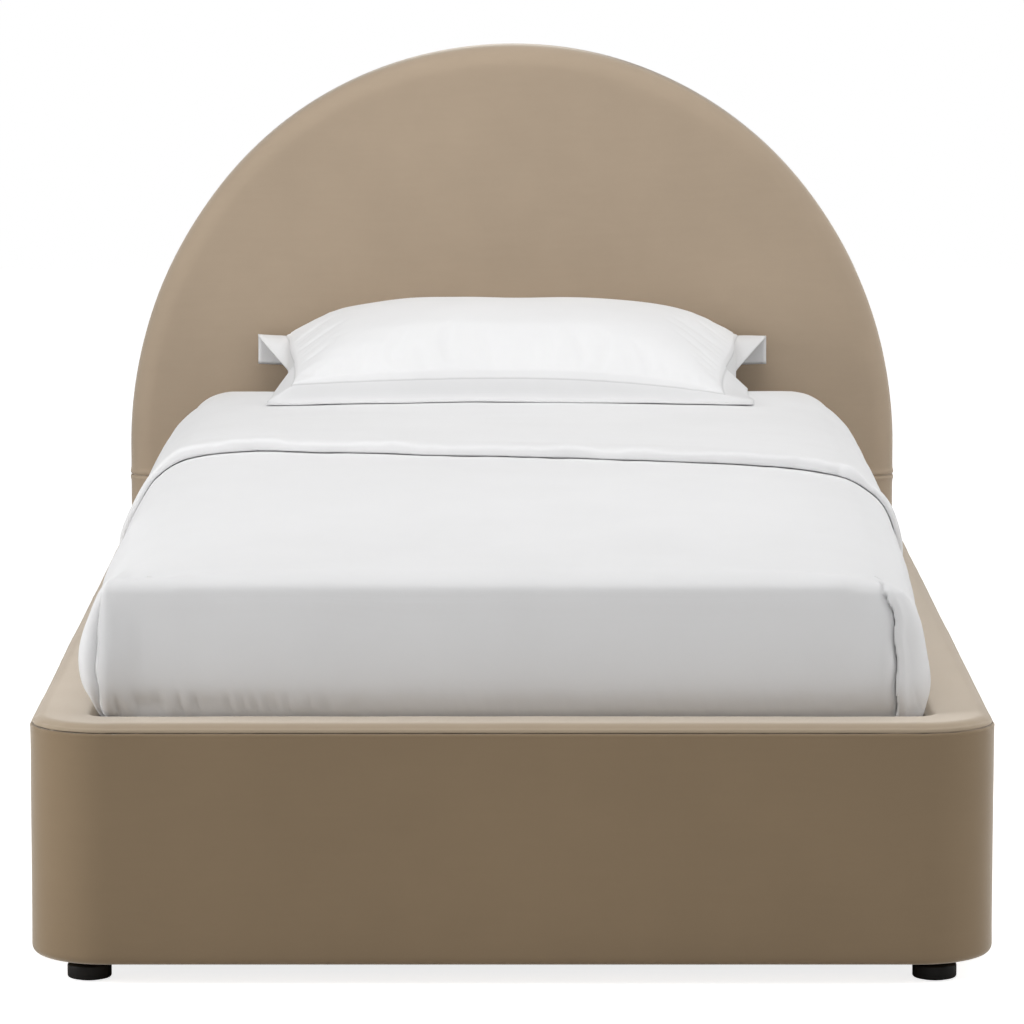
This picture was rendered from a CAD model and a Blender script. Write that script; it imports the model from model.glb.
"""An upholstered platform bed with an arched headboard, made up with white bedding.

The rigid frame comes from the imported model. This file adds its velvet, bedding, materials and stage.
"""
import bisect
import math
from types import SimpleNamespace

import bmesh
import bpy
from bpy.props import FloatProperty, FloatVectorProperty, PointerProperty
from mathutils import Matrix, Vector, noise


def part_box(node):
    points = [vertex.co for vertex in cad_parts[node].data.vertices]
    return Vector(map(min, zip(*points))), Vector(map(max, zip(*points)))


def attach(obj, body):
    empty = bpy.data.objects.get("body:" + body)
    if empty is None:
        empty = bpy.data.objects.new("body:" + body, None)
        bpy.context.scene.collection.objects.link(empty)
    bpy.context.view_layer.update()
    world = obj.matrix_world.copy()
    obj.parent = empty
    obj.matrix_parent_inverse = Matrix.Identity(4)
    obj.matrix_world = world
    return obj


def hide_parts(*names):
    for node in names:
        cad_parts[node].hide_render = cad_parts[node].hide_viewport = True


bl_info = {
    "name": "Arched platform bed",
    "version": (1, 0, 0),
    "blender": (4, 5, 0),
    "location": "View3D > Sidebar > Bed",
    "description": "Dresses an upholstered platform bed: velvet, bedding, timber, fittings and stage",
    "category": "Object",
}

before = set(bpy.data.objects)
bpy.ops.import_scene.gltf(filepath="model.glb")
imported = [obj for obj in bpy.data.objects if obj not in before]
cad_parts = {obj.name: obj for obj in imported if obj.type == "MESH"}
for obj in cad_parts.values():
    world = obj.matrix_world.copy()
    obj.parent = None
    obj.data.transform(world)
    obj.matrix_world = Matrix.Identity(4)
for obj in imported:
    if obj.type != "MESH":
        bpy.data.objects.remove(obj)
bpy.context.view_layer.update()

MM = 0.001
WELD = 0.00001                      # points closer than this become one

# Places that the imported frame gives, in metres
FACE_LOW, FACE_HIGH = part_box("footboard_cover")
HEAD_LOW, HEAD_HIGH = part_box("headboard_cover")
BED_LOW, BED_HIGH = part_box("mattress")
DUVET_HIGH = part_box("duvet")[1]
PILLOW_LOW, PILLOW_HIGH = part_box("pillow")

HALF = FACE_HIGH.x                  # half the bed's width
FRONT_Y = FACE_LOW.y
JOINT_Y = FACE_HIGH.y               # where the rounded corners meet the side rails
CORNER_X = HALF - (JOINT_Y - FRONT_Y)
HEAD_Y = HEAD_LOW.y                 # front face of the headboard
BACK_Y = HEAD_HIGH.y
BASE_Z = FACE_LOW.z
RAIL_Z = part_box("footboard_top_cover")[1].z
HEAD_SEAM_Z = (HEAD_LOW.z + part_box("headboard_lower_cover")[1].z) / 2
MATTRESS_X = BED_HIGH.x
MATTRESS_TOP = BED_HIGH.z
FOOT_Y = BED_LOW.y                  # foot end of the mattress
MIDDLE_Y = (BED_LOW.y + BED_HIGH.y) / 2
HALF_LONG = (BED_HIGH.y - BED_LOW.y) / 2
PILLOW_MIDDLE_Y = (PILLOW_HIGH.y + PILLOW_LOW.y) / 2
PILLOW_HALF_Y = (PILLOW_HIGH.y - PILLOW_LOW.y) / 2

# Sizes that the velvet and the bedding share
VELVET_THICK = 1.4 * MM
SHEET_THICK = 0.6 * MM
ARCH_FOOT_Z = 417 * MM              # where the headboard's straight sides turn into its arch
FOOT_ROLL = 40 * MM                 # how far the mattress's top sinks at the foot
ROLL_LONG = 0.62                    # along this much of the bed
CORNER_R = 60 * MM
DUVET_CORNER = 30 * MM              # the duvet's corners are squarer than the mattress's
MIDDLE = 482.5                      # from the mattress's outline to its middle, in mm


def length(name, description, mm):
    return FloatProperty(name=name, description=description, default=mm * MM, unit="LENGTH")


class BedSizes(bpy.types.PropertyGroup):
    """Sizes that change how the upholstery and the bedding look"""
    rail_thick: length("Rail thickness", "Thickness of the side rails, upholstery included", 80)
    outer_top_r: length("Outer top radius", "Radius of the rails' outer top edge", 20)
    inner_top_r: length("Inner top radius", "Radius of the rails' inner top edge", 14)
    head_front_r: length("Headboard edge radius", "Radius of the headboard's padded front edge", 34)
    head_crown: length("Headboard crown", "How far the headboard's front swells at its middle", 3)
    seam_depth: length("Seam depth", "How deep a sewn seam is drawn in", 1.25)
    seam_swell: length("Seam swell", "How far the velvet swells beside a sewn seam", 1.1)
    pucker: length("Puckers", "Height of the small puckers beside the seams", 0.55)
    turned_layer: length("Turned-back layer", "Thickness of the duvet's turned-back layer", 12)
    fold_middle: length("Fold line", "Where the turned-back edge crosses the middle of the bed", -152)
    fold_slant: FloatProperty(name="Fold slant", default=0.245,
                              description="How much nearer the foot the turned-back edge lies on the right")
    crease: length("Corner crease", "Depth of the folds at the duvet's foot corners", 11)
    pillow_full: length("Pillow fullness", "Half the thickness of the pillow at its middle", 70)
    flange: length("Flange", "Width of the pillow's flange", 46)


def colour(name, description, rgb):
    return FloatVectorProperty(name=name, description=description, subtype="COLOR", size=3, default=rgb,
                               min=0, max=1)


class BedColours(bpy.types.PropertyGroup):
    """Colours of the bed, as linear values"""
    velvet: colour("Velvet", "Velvet of the base", (0.272, 0.199, 0.124))
    velvet_band: colour("Top band velvet", "Velvet on top of the rails, its nap the other way",
                        (0.42, 0.337, 0.245))
    velvet_head: colour("Headboard velvet", "Velvet of the headboard, brushed upwards", (0.392, 0.310, 0.228))
    cotton: colour("Cotton", "Duvet, sheet and pillow", (0.80, 0.80, 0.805))
    ticking: colour("Ticking", "Mattress cover", (0.80, 0.79, 0.76))
    pine: colour("Pine", "Battens, ledgers, beam and legs", (0.56, 0.37, 0.19))
    plywood: colour("Plywood", "Face boards", (0.50, 0.33, 0.18))
    slat_wood: colour("Slat wood", "Slats", (0.66, 0.48, 0.28))
    lining: colour("Back lining", "Thin board behind the headboard", (0.060, 0.052, 0.045))
    foam: colour("Foam", "Padding under the velvet", (0.72, 0.66, 0.46))
    webbing: colour("Webbing", "Straps over the slats", (0.035, 0.035, 0.036))
    zinc: colour("Zinc", "Brackets and hangers", (0.60, 0.61, 0.62))
    screw: colour("Screws", "Screws and bolts", (0.50, 0.49, 0.47))
    plastic: colour("Black plastic", "Feet and glides", (0.007, 0.006, 0.005))
    floor: colour("Floor", "Floor of the stage", (0.82, 0.82, 0.82))


def sizes():
    return bpy.context.scene.bed_sizes


def colours():
    return bpy.context.scene.bed_colours


# Shader maths

class Wire:
    """A shader socket that takes part in Python expressions"""

    def __init__(self, tree, socket):
        self.tree = tree
        self.socket = socket

    def maths(self, operation, second=None):
        node = self.tree.nodes.new("ShaderNodeMath")
        node.operation = operation
        plug(self.tree, node.inputs[0], self)
        if second is not None:
            plug(self.tree, node.inputs[1], second)
        return Wire(self.tree, node.outputs[0])

    def __add__(self, other):
        return self.maths("ADD", other)

    def __sub__(self, other):
        return self.maths("SUBTRACT", other)

    def __mul__(self, other):
        return self.maths("MULTIPLY", other)

    def __pow__(self, other):
        return self.maths("POWER", other)

    def sine(self):
        return self.maths("SINE")

    def size(self):
        return self.maths("ABSOLUTE")


def plug(tree, socket, value):
    """Sets a socket to a value, or links a wire to it"""
    if isinstance(value, Wire):
        tree.links.new(value.socket, socket)
    elif isinstance(value, tuple) and socket.type == "RGBA" and len(value) == 3:
        socket.default_value = (*value, 1)
    else:
        socket.default_value = value


class Finish:
    """One material, with its Principled shader"""

    def __init__(self, name, **constants):
        self.material = bpy.data.materials.new(name)
        self.material.use_nodes = True
        self.tree = self.material.node_tree
        self.shader = self.tree.nodes["Principled BSDF"]
        self.place = self.node("ShaderNodeTexCoord", out="Object")
        for socket, value in constants.items():
            self.set(socket.replace("_", " "), value)

    def node(self, kind, settings=None, inputs=None, out=0):
        node = self.tree.nodes.new(kind)
        for key, value in (settings or {}).items():
            setattr(node, key, value)
        for key, value in (inputs or {}).items():
            plug(self.tree, node.inputs[key], value)
        return Wire(self.tree, node.outputs[out])

    def set(self, socket, value):
        plug(self.tree, self.shader.inputs[socket], value)

    def noise(self, scale, detail, rough, stretch=None):
        """Noise in object coordinates, which may be stretched for each axis"""
        place = self.place
        if stretch:
            place = self.node("ShaderNodeVectorMath", {"operation": "MULTIPLY"}, {0: place, 1: stretch})
        return self.node("ShaderNodeTexNoise", None,
                         {"Vector": place, "Scale": scale, "Detail": detail, "Roughness": rough})

    def cells(self, scale, randomness=1.0):
        """Distance to the middles of scattered cells"""
        return self.node("ShaderNodeTexVoronoi", {"feature": "F1"},
                         {"Vector": self.place, "Scale": scale, "Randomness": randomness}, out="Distance")

    def threads(self, axis, scale, distortion, detail=2.0):
        """Soft bands across one axis"""
        return self.node("ShaderNodeTexWave", {"wave_type": "BANDS", "bands_direction": axis},
                         {"Vector": self.place, "Scale": scale, "Distortion": distortion, "Detail": detail})

    def mix(self, factor, first, second):
        return self.node("ShaderNodeMix", {"data_type": "RGBA"}, {0: factor, 6: first, 7: second}, out=2)

    def range(self, value, low, high, to_low=0.0, to_high=1.0):
        return self.node("ShaderNodeMapRange", None, {"Value": value, "From Min": low, "From Max": high,
                                                      "To Min": to_low, "To Max": to_high})

    def spread(self, noise, low=0.0, high=1.0):
        """Stretches a noise, which mostly lies between 0.3 and 0.7, to reach from low to high"""
        return self.range(noise, 0.3, 0.7, low, high)

    def darkened(self, cloth, dark):
        """The cloth's colour, going to the dark one where the mesh is marked as stitched or deep in a fold"""
        stitched = self.node("ShaderNodeAttribute", {"attribute_name": "stitched"}, out="Fac")
        return self.mix(stitched, cloth, dark)

    def bump(self, height, distance, strength):
        self.set("Normal", self.node("ShaderNodeBump", None,
                                     {"Height": height, "Distance": distance, "Strength": strength}))


def shade(rgb, factor):
    return tuple(min(1.0, c * factor) for c in rgb)


def velvet_finish(name, rgb):
    """Short pile: a fine nap with soft brushed patches, and the bright rim of pile that turns away"""
    f = Finish(name, Sheen_Weight=1.0, Sheen_Roughness=0.36, Sheen_Tint=(1.0, 0.93, 0.84, 1),
               Specular_IOR_Level=0.12)
    brushed = f.noise(3.2, 4, 0.6)
    cloudy = f.noise(11, 3, 0.55)
    streaks = f.noise(1, 2, 0.5, (18, 18, 120))
    pile = f.noise(1500, 2, 0.6)
    tone = f.spread(brushed) * 0.4 + f.spread(cloudy) * 0.25 + f.spread(streaks) * 0.1 + f.spread(pile) * 0.25
    f.set("Base Color", f.darkened(f.mix(tone, shade(rgb, 0.93), shade(rgb, 1.07)), shade(rgb, 0.16)))
    f.set("Roughness", f.spread(brushed, 0.80, 0.92))
    f.bump(pile * 0.7 + cloudy * 0.3, 0.0005, 0.35)
    return f.material


def cotton_finish(name, rgb):
    """Percale: a fine plain weave, soft creases and slight unevenness"""
    f = Finish(name, Sheen_Weight=0.12, Sheen_Roughness=0.5, Specular_IOR_Level=0.22)
    creases = f.noise(7, 4, 0.55)
    soft = f.noise(2.2, 2, 0.5)
    warp = f.threads("X", 420.0, 1.0, 1.0)
    weft = f.threads("Y", 420.0, 1.0, 1.0)
    tone = f.spread(creases) * 0.6 + f.spread(soft) * 0.4
    f.set("Base Color", f.darkened(f.mix(tone, shade(rgb, 0.975), shade(rgb, 1.02)), shade(rgb, 0.25)))
    f.set("Roughness", f.spread(soft, 0.82, 0.92))
    f.bump(creases * 0.8 + warp * 0.02 + weft * 0.02, 0.004, 0.25)
    return f.material


def ticking_finish(name, rgb):
    """Knitted mattress cover with a small quilted lattice"""
    f = Finish(name, Roughness=0.88, Sheen_Weight=0.15)
    x, y = (f.node("ShaderNodeSeparateXYZ", None, {0: f.place}, out=axis) for axis in "XY")
    lines = (((x + y) * 52.0).sine() * ((x - y) * 52.0).sine()).size() ** 0.35
    knit = f.noise(700, 2, 0.5)
    f.set("Base Color", f.mix(lines * 0.7 + knit * 0.3, shade(rgb, 0.86), rgb))
    f.bump(lines * 0.8 + knit * 0.2, 0.002, 0.6)
    return f.material


def wood_finish(name, rgb, along, rings=38.0, dark=0.72):
    """Grain and growth rings that run long along one axis"""
    f = Finish(name)

    def scales(long):
        return tuple(long if axis == along else 60.0 for axis in "XYZ")

    grain = f.noise(1.0, 5, 0.6, scales(3.0))
    wide = f.noise(0.35, 3, 0.5, scales(0.6))
    bands = ((wide * rings).sine() + 1.0) * 0.5
    f.set("Base Color", f.mix(bands * 0.55 + f.spread(grain) * 0.45, shade(rgb, dark), shade(rgb, 1.1)))
    f.set("Roughness", f.spread(grain, 0.54, 0.72))
    f.bump(grain, 0.0008, 0.35)
    return f.material


def plywood_finish(name, rgb):
    """Face veneer with long upright figure and pores"""
    f = Finish(name, Roughness=0.66)
    figure = f.noise(1.0, 4, 0.6, (3, 3, 26))
    pores = f.noise(1.0, 2, 0.6, (40, 40, 420))
    tone = f.spread(figure) * 0.7 + f.spread(pores) * 0.3
    f.set("Base Color", f.mix(tone, shade(rgb, 0.74), shade(rgb, 1.12)))
    f.bump(pores, 0.0006, 0.3)
    return f.material


def foam_finish(name, rgb):
    """Open-celled foam"""
    f = Finish(name, Roughness=0.95)
    cells = f.cells(650.0)
    f.set("Base Color", f.mix(cells, shade(rgb, 0.7), rgb))
    f.bump(cells, 0.0012, 0.6)
    return f.material


def lining_finish(name, rgb):
    """Non-woven lining with its pressed dimples"""
    f = Finish(name, Roughness=0.9)
    dots = f.cells(420.0, 0.15)
    fibres = f.noise(500, 3, 0.7)
    f.set("Base Color", f.mix(dots * 0.6 + fibres * 0.4, shade(rgb, 0.7), shade(rgb, 1.5)))
    f.bump(dots, 0.0006, 0.6)
    return f.material


def webbing_finish(name, rgb):
    """Woven strap"""
    f = Finish(name, Roughness=0.8)
    across = f.threads("X", 260.0, 0.3)
    along = f.threads("Y", 160.0, 0.3)
    f.set("Base Color", f.mix(across * 0.5 + along * 0.5, shade(rgb, 0.6), shade(rgb, 1.8)))
    f.bump(across * along, 0.0008, 0.8)
    return f.material


def metal_finish(name, rgb, low, high, spangle):
    """Plated steel with its crystal pattern or brush marks"""
    f = Finish(name, Metallic=1.0)
    marks = f.cells(130.0) if spangle else f.noise(1.0, 3, 0.6, (90, 900, 900))
    dull = f.noise(24, 3, 0.6)
    tone = f.range(marks, 0.0, 0.8) * 0.6 + dull * 0.4
    f.set("Base Color", f.mix(tone, shade(rgb, 0.78), shade(rgb, 1.1)))
    f.set("Roughness", f.spread(dull, low, high))
    f.bump(marks, 0.0003, 0.3)
    return f.material


def plastic_finish(name, rgb):
    """Moulded plastic with a fine spark texture and dust in it"""
    f = Finish(name, Specular_IOR_Level=0.2)
    dust = f.noise(30, 4, 0.6)
    f.set("Base Color", f.mix(f.range(dust, 0.55, 0.8), rgb, shade(rgb, 2.2)))
    f.set("Roughness", f.spread(dust, 0.42, 0.58))
    f.bump(f.noise(1400, 2, 0.6), 0.0003, 0.4)
    return f.material


# How each material is made: its function, its colour and what else the function is told
FINISHES = {
    "velvet": (velvet_finish, "velvet"),
    "velvet_band": (velvet_finish, "velvet_band"),
    "velvet_head": (velvet_finish, "velvet_head"),
    "white_cotton": (cotton_finish, "cotton"),
    "ticking": (ticking_finish, "ticking"),
    "pine_across": (wood_finish, "pine", "X"),
    "pine_along": (wood_finish, "pine", "Y"),
    "pine_upright": (wood_finish, "pine", "Z"),
    "slat_wood": (wood_finish, "slat_wood", "X", 30.0, 0.82),
    "plywood": (plywood_finish, "plywood"),
    "back_lining": (lining_finish, "lining"),
    "foam": (foam_finish, "foam"),
    "webbing": (webbing_finish, "webbing"),
    "zinc_steel": (metal_finish, "zinc", 0.32, 0.5, True),
    "screw_steel": (metal_finish, "screw", 0.24, 0.4, False),
    "black_plastic": (plastic_finish, "plastic"),
}
finishes = {}


def finish(name):
    """The material of that name, made the first time that it is asked for"""
    if name not in finishes:
        make, tint, *more = FINISHES[name]
        finishes[name] = make(name, tuple(getattr(colours(), tint)), *more)
    return finishes[name]


# Mesh helpers

def smooth(t):
    t = min(max(t, 0.0), 1.0)
    return t * t * (3 - 2 * t)


def mix(a, b, t):
    return a + (b - a) * t


def bell(off, wide):
    """1 at its middle, and soon nothing further off than wide"""
    return math.exp(-(off / wide) ** 2)


def wave(x, y, z, scale):
    """Even noise between about -1 and 1, with features of that size in metres"""
    return noise.noise(Vector((x, y, z)) / scale)


def on_curve(points, t):
    """A point on the smooth curve through points, where t counts the points"""
    i = min(max(int(t), 0), len(points) - 2)
    u = t - i
    near = [points[min(max(k, 0), len(points) - 1)] for k in (i - 1, i, i + 1, i + 2)]
    return tuple(0.5 * (2 * b + (c - a) * u + (2 * a - 5 * b + 4 * c - d) * u * u
                        + (3 * b - a - 3 * c + d) * u ** 3) for a, b, c, d in zip(*near))


def polar(centre, radius, angle):
    """A point of a section, at an angle in degrees round a centre"""
    a = math.radians(angle)
    return centre[0] + radius * math.cos(a), centre[1] + radius * math.sin(a)


def arc(centre, radius, start, end, count):
    """Points of an arc in a section, angles in degrees"""
    return [polar(centre, radius, mix(start, end, k / count)) for k in range(count + 1)]


def shaped_grid(bm, across, along, place, selected=None, stitched=None):
    """Adds a grid of across by along cells, and puts the corner (i, j) of its cells at place(i, j). The
    corners to be found again later are selected, and stitched(i, j) says how grey the cloth looks there."""
    layer = bm.verts.layers.float.get("stitched")
    for v in bmesh.ops.create_grid(bm, x_segments=across, y_segments=along, size=0.5)["verts"]:
        i, j = round((v.co.x + 0.5) * across), round((v.co.y + 0.5) * along)
        v.co = place(i, j)
        v.select = bool(selected and selected(i, j))
        if stitched:
            v[layer] = stitched(i, j)


def chain(bm, points):
    """Adds a chain of edges through the points"""
    verts = [bm.verts.new(point) for point in points]
    return verts + [bm.edges.new(pair) for pair in zip(verts, verts[1:])]


def sweep(bm, geometry, steps, centre=(0, 0, 0), axis=(0, 0, 1), angle=0.0, way=(0, 0, 0)):
    """Extrudes a section along a way or round an axis, and returns its last copy"""
    return bmesh.ops.spin(bm, geom=geometry, cent=centre, axis=axis, angle=angle, steps=steps,
                          dvec=Vector(way) / steps, use_merge=False, use_duplicate=False)["geom_last"]


def extruded(bm, edges):
    """Extrudes edges, and returns the new points and the new edges between them"""
    made = bmesh.ops.extrude_edge_only(bm, edges=edges)["geom"]
    verts = [g for g in made if isinstance(g, bmesh.types.BMVert)]
    return verts, [g for g in made if isinstance(g, bmesh.types.BMEdge) and all(v in verts for v in g.verts)]


def weld(bm):
    bmesh.ops.remove_doubles(bm, verts=bm.verts, dist=WELD)


def open_edges(bm):
    return [e for e in bm.edges if e.is_boundary]


def move_all(moves):
    """Moves points that were all looked at before the first one moves"""
    for v, move in moves:
        v.co += move


def point_up(bm):
    """Turns the faces of an open shell so that those on top face up"""
    bmesh.ops.recalc_face_normals(bm, faces=bm.faces)
    if sum(f.normal.z * f.calc_area() for f in bm.faces) < 0:
        bmesh.ops.reverse_faces(bm, faces=bm.faces)
    bm.normal_update()


def join(bm, other):
    """Adds the faces of another bmesh, and frees it"""
    mesh = bpy.data.meshes.new("joined")
    other.to_mesh(mesh)
    other.free()
    bm.from_mesh(mesh)
    bpy.data.meshes.remove(mesh)


def piece(name, bm, material, body, nodes, outward=True):
    """Makes a finished piece of a bmesh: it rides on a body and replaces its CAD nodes"""
    weld(bm)
    bmesh.ops.dissolve_degenerate(bm, dist=WELD / 2, edges=bm.edges)
    if outward:
        bmesh.ops.recalc_face_normals(bm, faces=bm.faces)
    for face in bm.faces:
        face.smooth = True
    mesh = bpy.data.meshes.new(name)
    bm.to_mesh(mesh)
    bm.free()
    obj = bpy.data.objects.new(name, mesh)
    bpy.context.scene.collection.objects.link(obj)
    mesh.materials.append(finish(material))
    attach(obj, body)
    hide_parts(*nodes)
    return obj


def wall(obj, thickness):
    """Gives a sheet its thickness, inwards from its faces"""
    solid = obj.modifiers.new("wall", "SOLIDIFY")
    solid.thickness = thickness
    solid.offset = -1


# Upholstery

SEAM_ANGLE = 150.5                  # where the sewn seam lies on the rail's outer top edge, in degrees
SEAM_STEPS = (0.2, 0.6, 1.1, 1.8, 2.7, 3.8, 5.2, 7, 9, 11.5, 14.5, 18, 22, 26)


def seam_point(centre, r, angle):
    """A point on the rail's outer top edge, drawn in at the seam and swollen beside it"""
    s = sizes()
    off = abs(angle - SEAM_ANGLE)
    return polar(centre, r + (s.seam_swell * bell(off - 10, 6) - s.seam_depth * bell(off, 2.4)), angle)


def face_section():
    """The velvet face of a rail: turned under the base, up the outside, and over to the sewn seam.
    A point is (distance in from the outer face, height)."""
    r = sizes().outer_top_r
    low = 11 * MM
    top = (r, RAIL_Z - r)
    points = [(13 * MM, BASE_Z)] + arc((low, BASE_Z + low), low, 270, 180, 6)
    points += [(0, mix(BASE_Z + low, RAIL_Z - r, k / 14)) for k in range(1, 14)]
    return points + [seam_point(top, r, SEAM_ANGLE + step) for step in (29.5, *reversed(SEAM_STEPS))]


def band_section():
    """The velvet top of a rail: from the seam over the top, down the inside, and turned under the base"""
    s = sizes()
    r, inner_r, thick = s.outer_top_r, s.inner_top_r, s.rail_thick
    low = 6 * MM
    points = [seam_point((r, RAIL_Z - r), r, SEAM_ANGLE - step) for step in (*SEAM_STEPS, 31, 37, 44, 52)]
    points += [(r, RAIL_Z)] + [(mix(r, thick - inner_r, k / 6), RAIL_Z) for k in range(1, 6)]
    points += arc((thick - inner_r, RAIL_Z - inner_r), inner_r, 90, 0, 8)
    points += [(thick, mix(RAIL_Z - inner_r, BASE_Z + low, k / 8)) for k in range(1, 8)]
    return points + arc((thick - low, BASE_Z + low), low, 0, -90, 4) + [(thick - 13 * MM, BASE_Z)]


def sweep_round_base(section):
    """Extrudes a rail section from the headboard along one side, round the foot and back along the other"""
    bm = bmesh.new()
    last = chain(bm, [(-HALF + u, HEAD_Y, z) for u, z in section])
    along, round_corner = 130, 26
    last = sweep(bm, last, along, way=(0, JOINT_Y - HEAD_Y, 0))
    last = sweep(bm, last, round_corner, (-CORNER_X, JOINT_Y, 0), angle=math.pi / 2)
    last = sweep(bm, last, 100, way=(2 * CORNER_X, 0, 0))
    last = sweep(bm, last, round_corner, (CORNER_X, JOINT_Y, 0), angle=math.pi / 2)
    sweep(bm, last, along, way=(0, HEAD_Y - JOINT_Y, 0))
    return bm


def face_outward(bm):
    """Turns all faces of the rails' velvet round if most of them look into the rails"""
    votes = 0
    for f in bm.faces:
        c = f.calc_center_median()
        if c.z > RAIL_Z - 1 * MM:
            votes += f.normal.z
        elif c.y < FRONT_Y + 0.5 * MM:
            votes -= f.normal.y
        elif c.z > 0.1 and abs(c.x) > HALF - 1 * MM:
            votes += f.normal.x * math.copysign(1, c.x)
    if votes < 0:
        bmesh.ops.reverse_faces(bm, faces=bm.faces)


def ruffle_base(bm):
    """Puckers beside the seam, more at the corners, and the slight unevenness of padding"""
    s = sizes()
    seam = RAIL_Z - s.outer_top_r + s.outer_top_r * math.sin(math.radians(SEAM_ANGLE))
    stitched = bm.verts.layers.float.new("stitched")
    bm.normal_update()
    moves = []
    for v in bm.verts:
        x, y, z = v.co
        outside = abs(x) > HALF - 30 * MM or y < FRONT_Y + 30 * MM
        v[stitched] = bell(z - seam, 0.75 * MM) if outside else 0
        near = bell(z - seam, 9 * MM) if outside else 0
        corner = 1.6 if abs(x) > CORNER_X - 40 * MM and y < JOINT_Y + 60 * MM else 0.7
        small = (0.5 + wave(x, y, 0, 16 * MM)) * s.pucker * near * corner
        uneven = wave(x, y, z, 210 * MM) * 0.7 * MM + wave(x + 3, y, z, 70 * MM) * 0.25 * MM
        moves.append((v, v.normal * (small + uneven * smooth((z - BASE_Z) / (30 * MM)))))
    move_all(moves)
    for v in bm.verts:
        v.co.y = min(v.co.y, HEAD_Y)


class BED_OT_base_velvet(bpy.types.Operator):
    """Sews the velvet of the side rails and the footboard, with its seam below the top edge"""
    bl_idname = "bed.base_velvet"
    bl_label = "Base velvet"

    def execute(self, context):
        for name, material, section, part in (("base_face", "velvet", face_section(), "cover"),
                                              ("base_band", "velvet_band", band_section(), "top_cover")):
            bm = sweep_round_base(section)
            weld(bm)
            bmesh.ops.recalc_face_normals(bm, faces=bm.faces)
            face_outward(bm)
            ruffle_base(bm)
            nodes = [f"{rail}_{part}" for rail in ("left_rail", "right_rail", "footboard")]
            wall(piece(name, bm, material, "frame", nodes, outward=False), VELVET_THICK)
        return {"FINISHED"}


def head_section():
    """The edge of the headboard, from its flat front round to its back. A point is (distance in from the
    outline, distance from the front)."""
    depth = BACK_Y - HEAD_Y
    r = sizes().head_front_r
    back = 8 * MM
    points = [(r + 20 * MM, 0), (r + 10 * MM, 0)] + arc((r, r), r, 270, 180, 14)
    points += [(0, mix(r, depth - back, k / 5)) for k in range(1, 5)]
    return points + arc((back, depth - back), back, 180, 90, 6) + [(20 * MM, depth), (32 * MM, depth)]


def arch_places():
    """Centres of the headboard's top and right arcs: three arcs that meet where they run square to a slope of
    3 in 4"""
    rise = HEAD_HIGH.z - ARCH_FOOT_Z
    top_r = (3 * HALF - rise) / 2
    side_r = 5 * HALF - 4 * top_r
    return Vector((0, 0, HEAD_HIGH.z - top_r)), Vector((HALF - side_r, 0, HEAD_HIGH.z - rise))


def seam_rows(total):
    """Steps away from a seam, short at first, that add up to a total"""
    steps = [0.5 * MM, 0.5 * MM, 0.6 * MM, 0.8 * MM, 1 * MM, 1.6 * MM, 2 * MM, 3 * MM, 4 * MM, 6 * MM]
    rest = total - sum(steps)
    count = max(1, round(rest / (14 * MM)))
    return steps + [rest / count] * count


def crowned_front(bm, low):
    """Fills the headboard's flat front with rings that shrink towards the middle of its lower edge"""
    edges = [e for e in open_edges(bm) if all(abs(v.co.y - HEAD_Y) < 1e-6 for v in e.verts)
             and not all(abs(v.co.z - low) < 1e-6 for v in e.verts)]
    middle = Vector((0, HEAD_Y, low))
    before = 1.0
    for share in (0.965, 0.92, 0.86, 0.78, 0.69, 0.59, 0.48, 0.36, 0.24, 0.12):
        verts, edges = extruded(bm, edges)
        k = share / before
        bmesh.ops.scale(bm, verts=verts, vec=(k, 1, k), space=Matrix.Translation(-middle))
        before = share
    bmesh.ops.pointmerge(bm, verts=extruded(bm, edges)[0], merge_co=middle)


def soften_head(bm):
    """Draws the velvet in at the headboard's seam, puckers it there, and swells its padded front"""
    s = sizes()
    bm.normal_update()
    moves = []
    for v in bm.verts:
        x, y, z = v.co
        off = abs(z - HEAD_SEAM_Z) / MM
        seam = s.seam_swell * bell(off - 4.5, 3) - s.seam_depth * bell(off, 1.3)
        small = (0.5 + wave(x, y, z / 3, 15 * MM)) * s.pucker * bell(off, 12)
        padded = wave(x, y, z, 240 * MM) * 0.9 * MM + wave(x + 5, y, z, 80 * MM) * 0.25 * MM
        inside = min(HALF - abs(x), 0.2) / 0.2
        crown = s.head_crown * smooth(inside) * (0.4 + 0.6 * smooth((z - HEAD_SEAM_Z) / 0.1))
        move = v.normal * (seam + small + padded) + Vector((0, -crown * max(0.0, -v.normal.y) * 0.5, 0))
        moves.append((v, move * smooth((z - RAIL_Z) / 0.02)))
    move_all(moves)


def head_piece(bm, name, node):
    """Turns a part of the headboard's velvet outwards, softens it and makes it a piece"""
    weld(bm)
    bmesh.ops.recalc_face_normals(bm, faces=bm.faces)
    if sum(f.normal.y for f in bm.faces if f.calc_center_median().y < HEAD_Y + 0.1 * MM) > 0:
        bmesh.ops.reverse_faces(bm, faces=bm.faces)
    soften_head(bm)
    wall(piece(name, bm, "velvet_head", "frame", (node,), outward=False), VELVET_THICK)


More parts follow.
